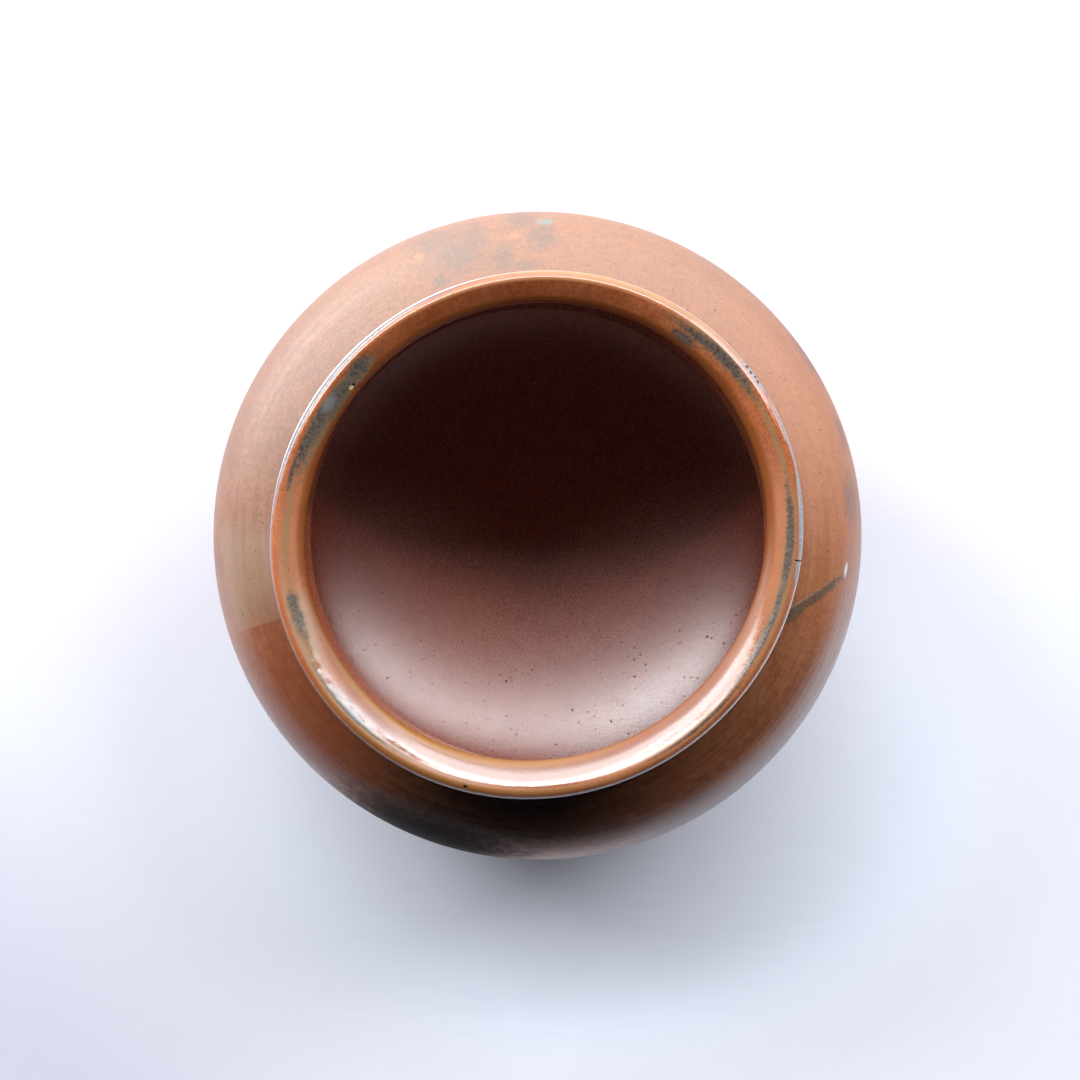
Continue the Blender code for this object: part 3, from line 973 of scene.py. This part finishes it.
# %% Body glaze: run and bead
RUN_MIDDLE, RUN_SLANT = 85.5, 0.66  # millimetres, degrees per millimetre
RUN_PATCHES = [(102.0, 1.25, 84.5, 8.5, 1.0, 0.4), (103.0, 1.8, 79.5, 3.2, 0.9, 0.35)]
BEAD_WITH_GLINT_PATCHES = [(101.4, 1.2, 93.0, 0.45, 0.5, 0.6)]
# the bead's pale colour is a painted glint
RUN_DARK, RUN_LIGHT, PAINTED_BEAD_GLINT = (0.022, 0.019, 0.014), (0.13, 0.10, 0.06), (0.55, 0.55, 0.54)

slant = times(tree, calc(tree, "SUBTRACT", where["Radius"], RUN_MIDDLE), RUN_SLANT)
run_place = {"Bearing": calc(tree, "ADD", where["Bearing"], slant), "Radius": where["Radius"]}
run = patches(tree, run_place, middling, RUN_PATCHES, above_belly)
colour = lay(tree, colour, run, 0.8, tint(tree, slide(tree, fine, 0.35, 0.65), RUN_DARK, RUN_LIGHT))
bead_with_glint = patches(tree, run_place, fine, BEAD_WITH_GLINT_PATCHES, above_belly)
# painted highlight: the bead is coloured as a glint
colour = tint(tree, bead_with_glint, colour, PAINTED_BEAD_GLINT)
print("run of", len(RUN_PATCHES), "patches with a bead")

# %% [markdown]
# ## Body glaze: dust, smears and specks
#
# Ash has dusted the back in grey patches, and smears, a chip and two pale scars lie round the rim of the
# shoulder. On the near right the rim is paled as a painted sheen, a reflection of the bright table, that
# breaks up along the finger rings. Iron and salt give the specks.

# %% Body glaze: dust, smears and specks
DUST, DUST_PATCHES = (0.125, 0.102, 0.088), [
    (340.5, 4.5, 93.0, 4.5, 1.7, 0.7), (344, 5.5, 88.0, 6.5, 1.7, 0.7), (347.5, 3.0, 91.0, 5.0, 1.7, 0.7),
    (339.5, 1.8, 80.5, 2.5, 1.6, 0.7), (353, 2.4, 83.5, 3.8, 1.6, 0.7), (357, 3.0, 80.2, 1.4, 1.5, 0.7),
    (0.8, 2.8, 89.5, 4.0, 1.6, 0.7), (357, 3.2, 95.0, 3.2, 1.5, 0.7),
]
SMEARS = {
    "smears": (
        0.55, (0.12, 0.066, 0.055),
        [(83.5, 4, 95, 2.6, 1.2, 0.6), (56, 5, 98, 1.6, 1.2, 0.6), (71, 3, 97, 1.2, 1.2, 0.6)],
    ),
    "chip": (1.0, (0.19, 0.19, 0.15), [(1.4, 1.5, 94.3, 1.0, 1.5, 0.3)]),
}
PAINTED_RIM_SHEEN, PAINTED_RIM_SHEEN_PATCHES = (0.40, 0.33, 0.32), [(122, 26, 97.5, 4.5, 0.6, 0.8)]
SCARS = {
    "scars": (
        0.50, (0.40, 0.19, 0.09), [(337.0, 0.9, 90.5, 1.1, 0.6, 0.5), (355.6, 0.8, 90.0, 1.0, 0.6, 0.5)]
    ),
}
BODY_IRON, SALT, SALT_SHIFT = (0.06, 0.026, 0.016), (0.62, 0.50, 0.38), (31.0, 17.0, 5.0)

dusted = patches(tree, where, middling, DUST_PATCHES, above_belly)
dusted = times(tree, dusted, slide(tree, fine, 0.36, 0.62, 0.15, 1.0))
colour = lay(tree, colour, dusted, 0.85, DUST)
colour = lay_marks(tree, where, middling, colour, SMEARS, above_belly)
# painted reflection: the near right rim is paled where the table is mirrored
rim_sheen = patches(tree, where, middling, PAINTED_RIM_SHEEN_PATCHES, above_belly)
colour = lay(tree, colour, rim_sheen, slide(tree, throwing, 0.42, 0.60, 0.25, 0.65), PAINTED_RIM_SHEEN)
colour = lay_marks(tree, where, middling, colour, SCARS, above_belly)
iron = specks(tree, spot, spacing=2.1, size=0.36, share=0.30)
colour = lay(tree, colour, iron, 0.7, BODY_IRON)
salt = specks(tree, move(tree, "ADD", spot, SALT_SHIFT), spacing=5.0, size=0.28, share=0.12)
colour = lay(tree, colour, salt, 0.6, SALT)

# %% [markdown]
# ## Body glaze: the lower edge, gloss and relief
#
# Low on the belly the glaze stops in a ragged line above the bare foot. The glaze is glossier on the near
# side than at the back, and dull where it is scorched or bare. Soot swallows light, sheen and all. A
# metal's sheen takes the metal's own colour, so some Metallic with a nearly black colour puts it out.

# %% Body glaze: lower edge, gloss and relief
GLAZE_LINE_WAVES = 9.0
BARE_DARK, BARE_LIGHT = (0.30, 0.215, 0.15), (0.42, 0.32, 0.235)
SOOTY_PATCHES = [(190, 24, 96, 8, 0.5, 0.8)]

waves = times(tree, calc(tree, "SUBTRACT", middling, 0.5), GLAZE_LINE_WAVES)
bare = slide(tree, calc(tree, "ADD", where["Height"], waves), 27.0, 28.2, 1.0, 0.0)
colour = tint(tree, bare, colour, tint(tree, slide(tree, fine, 0.35, 0.65), BARE_DARK, BARE_LIGHT))
feed(tree, shader.inputs["Base Color"], colour)

depth = put(tree, "SeparateXYZ", {"Vector": spot}).outputs["Y"]
satin = slide(tree, depth, -60.0, 60.0, 0.30, 0.60)
satin = calc(tree, "ADD", slide(tree, throwing, 0.3, 0.7, -0.06, 0.06), satin)
dull = times(tree, calc(tree, "MAXIMUM", bare, scorch), 0.55)
feed(tree, shader.inputs["Roughness"], calc(tree, "ADD", satin, dull))
sooty = patches(tree, where, middling, SOOTY_PATCHES, above_belly)
feed(tree, shader.inputs["Metallic"], times(tree, sooty, 0.8))

relief = combine(tree, "ADD", (throwing, 1.5), (fine, 0.8), (iron, -0.3), (run, 2.0), (bead_with_glint, 2.0))
emboss(tree, shader, relief, strength=0.6, depth=0.10)
print("body glaze:", len(tree.nodes), "nodes")

# %% [markdown]
# ## Slip inside: colour
#
# The inside was only washed with slip, a dull red-brown. Its far half, in the lip's shadow, is darkened as
# painted shade, and the edge of that shade bows round like the bowl itself: it is a parabola across the jar,
# sharper towards the sides. The near left is ruddier, and the slip just under the neck is a little darker as
# painted shade. A pale painted sheen lies on the near right below the mouth, iron specks are scattered all
# over, and so are pale dots that are painted glints.

# %% Inside slip: colour
SLIP_IOR = 1.85
SLIP_DARK, SLIP_LIGHT, SLIP_GRAIN = (0.35, 0.086, 0.046), (0.41, 0.106, 0.058), (0.20, 0.048, 0.026)
PAINTED_FAR_SHADE, FAR_EDGE, FAR_BOW, FAR_SHARPENING = (0.15, 0.047, 0.018), 18.0, 0.0057, 0.0004
RUDDY = {"ruddy left": (0.45, (0.50, 0.125, 0.045), [(224, 36, 52, 24, 0.4, 0.8)])}
PAINTED_NECK_SHADE = (0.10, 0.028, 0.012)
PAINTED_SLIP_SHEEN, PAINTED_SLIP_SHEEN_PATCHES = (0.62, 0.52, 0.51), [(147, 22, 77, 13, 0.5, 0.8)]
SMUDGES = {
    "smudges": (0.35, (0.06, 0.025, 0.02), [(150, 60, 7, 3, 1.2, 0.7), (355, 1.1, 41.8, 0.8, 0.6, 0.4)]),
}
SLIP_IRON, PAINTED_SLIP_GLINT, GLINT_SHIFT = (0.05, 0.025, 0.02), (0.85, 0.76, 0.70), (13.0, 7.0, 3.0)

inside_slip, tree, shader, where = new_finish("inside_slip", 0.30, SLIP_IOR)
spot = where["Position"]
middling = cloud(tree, spot, scale=0.2, detail=4.0, roughness=0.6)
fine = cloud(tree, spot, scale=2.4, detail=2.0, roughness=0.6)
colour = tint(tree, slide(tree, middling, 0.35, 0.65), SLIP_DARK, SLIP_LIGHT)
# painted shade: the far half, which the lip's shadow covers, is darkened
across = put(tree, "SeparateXYZ", {"Vector": spot}).outputs
off_axis = times(tree, across["X"], across["X"])
bow = times(tree, off_axis, FAR_BOW)
into_far_shade = calc(tree, "SUBTRACT", calc(tree, "ADD", across["Y"], FAR_EDGE), bow)
into_far_shade = times(tree, into_far_shade, calc(tree, "MULTIPLY_ADD", off_axis, FAR_SHARPENING, 1.0))
colour = tint(tree, slide(tree, into_far_shade, -14.0, 14.0, 0.0, 0.85), colour, PAINTED_FAR_SHADE)
colour = tint(tree, slide(tree, fine, 0.34, 0.62, 0.35, 0.0), colour, SLIP_GRAIN)
colour = lay_marks(tree, where, middling, colour, RUDDY)
# painted shade: darker just under the neck, where the inside overhangs
colour = tint(tree, slide(tree, where["Height"], 128.0, 140.0, 0.0, 0.2), colour, PAINTED_NECK_SHADE)
# painted sheen: a pale patch where the window is reflected near the mouth
slip_sheen = patches(tree, where, middling, PAINTED_SLIP_SHEEN_PATCHES)
colour = lay(tree, colour, slip_sheen, slide(tree, fine, 0.3, 0.7, 0.3, 0.85), PAINTED_SLIP_SHEEN)
colour = lay_marks(tree, where, middling, colour, SMUDGES)
iron = specks(tree, spot, spacing=1.9, size=0.37, share=0.42)
colour = lay(tree, colour, iron, 0.85, SLIP_IRON)
# painted highlight: pale dots that stand for tiny glints in the sheen
grit_and_glints = specks(tree, move(tree, "ADD", spot, GLINT_SHIFT), spacing=4.0, size=0.30, share=0.10)
colour = lay(tree, colour, grit_and_glints, 0.7, PAINTED_SLIP_GLINT)
feed(tree, shader.inputs["Base Color"], colour)

# %% [markdown]
# ## Slip inside: sheen and grain
#
# The slip has a soft sheen that breaks into tiny glints where the light grazes it. A deep relief would
# spread the sheen too wide, so the grain is mostly a change of roughness over a very shallow relief.

# %% Inside slip: sheen and grain
satin = slide(tree, fine, 0.3, 0.7, 0.17, 0.37)
feed(tree, shader.inputs["Roughness"], calc(tree, "ADD", satin, times(tree, iron, 0.6)))
emboss(tree, shader, calc(tree, "SUBTRACT", fine, iron), strength=0.6, depth=0.08)
print("inside slip:", len(tree.nodes), "nodes")

# %% [markdown]
# ## Bare foot
#
# The foot is never glazed, or the jar would stick to the kiln shelf. It shows plain buff clay with coarse
# grit, browner where it was nearest the flame.

# %% Bare clay
CLAY_IOR = 1.45
FOOT_BROWN, FOOT_BUFF, FOOT_GRIT = (0.27, 0.185, 0.125), (0.42, 0.32, 0.235), (0.12, 0.08, 0.06)

bare_clay, tree, shader, where = new_finish("bare_clay", 0.78, CLAY_IOR)
spot = where["Position"]
middling = cloud(tree, spot, scale=0.12, detail=4.0, roughness=0.6)
fine = cloud(tree, spot, scale=1.5, detail=3.0, roughness=0.65)
colour = tint(tree, slide(tree, middling, 0.35, 0.65), FOOT_BROWN, FOOT_BUFF)
grit_and_glints = specks(tree, spot, spacing=1.8, size=0.35, share=0.3)
feed(tree, shader.inputs["Base Color"], lay(tree, colour, grit_and_glints, 0.6, FOOT_GRIT))
emboss(tree, shader, fine, strength=0.7, depth=0.2)
print("bare clay:", len(tree.nodes), "nodes")

# %% [markdown]
# ## Glazing the sections
#
# Each section has a finish outside and another inside. A face belongs to the inside when it looks towards
# the middle of the jar, and those faces are selected and given the second material slot. On the lip the
# slip only reaches up to a line below the mouth, so its inside faces are found by their height and radius
# instead.

# %% Assign finishes
JAR_MIDDLE = (0, 0, 100)
SLIP_TOP, SLIP_RADIUS = 154.6, 69


def face_values(piece, label):
    """Centre or normal of every face."""
    values = np.empty(len(piece.data.polygons) * 3, np.float32)
    piece.data.polygons.foreach_get(label, values)
    return values.reshape(-1, 3)


def glaze(piece, outside, inside, below=None):
    """Outside finish in slot 0, inside finish in slot 1 for inward faces, or for those below a height."""
    piece.data.materials.clear()
    piece.data.materials.append(outside)
    piece.data.materials.append(inside)
    middles = face_values(piece, "center") / MM
    if below is None:
        inward = ((middles - JAR_MIDDLE) * face_values(piece, "normal")).sum(axis=1) < 0
    else:
        inward = (middles[:, 2] < below) & (np.hypot(middles[:, 0], middles[:, 1]) < SLIP_RADIUS)
    bpy.ops.object.select_all(action="DESELECT")
    bpy.context.view_layer.objects.active = piece
    bpy.ops.object.mode_set(mode="EDIT")
    bpy.ops.mesh.select_mode(type="FACE")
    bpy.ops.mesh.select_all(action="DESELECT")
    bpy.ops.object.mode_set(mode="OBJECT")
    piece.data.polygons.foreach_set("select", inward)
    bpy.ops.object.mode_set(mode="EDIT")
    piece.active_material_index = 1
    bpy.ops.object.material_slot_assign()
    bpy.ops.object.mode_set(mode="OBJECT")
    print(piece.name, int(inward.sum()), "inside faces of", len(inward))


glaze(lip, lip_glaze, inside_slip, below=SLIP_TOP)
for piece in (neck, shoulder, belly):
    glaze(piece, body_glaze, inside_slip)
glaze(base, bare_clay, inside_slip)

# %% [markdown]
# ## Fitting the sections to the frame
#
# Each section takes the place of its imported solid and rides on the jar's one body.

# %% Finish
for piece, node, slot in (
    (lip, "lip_ring", "lip_glaze"),
    (neck, "neck_ring", "lip_glaze"),
    (shoulder, "shoulder_wall", "orange_glaze"),
    (belly, "belly_wall", "orange_glaze"),
    (base, "base_dish", "bare_stoneware"),
):
    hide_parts(node)
    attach(piece, "root")
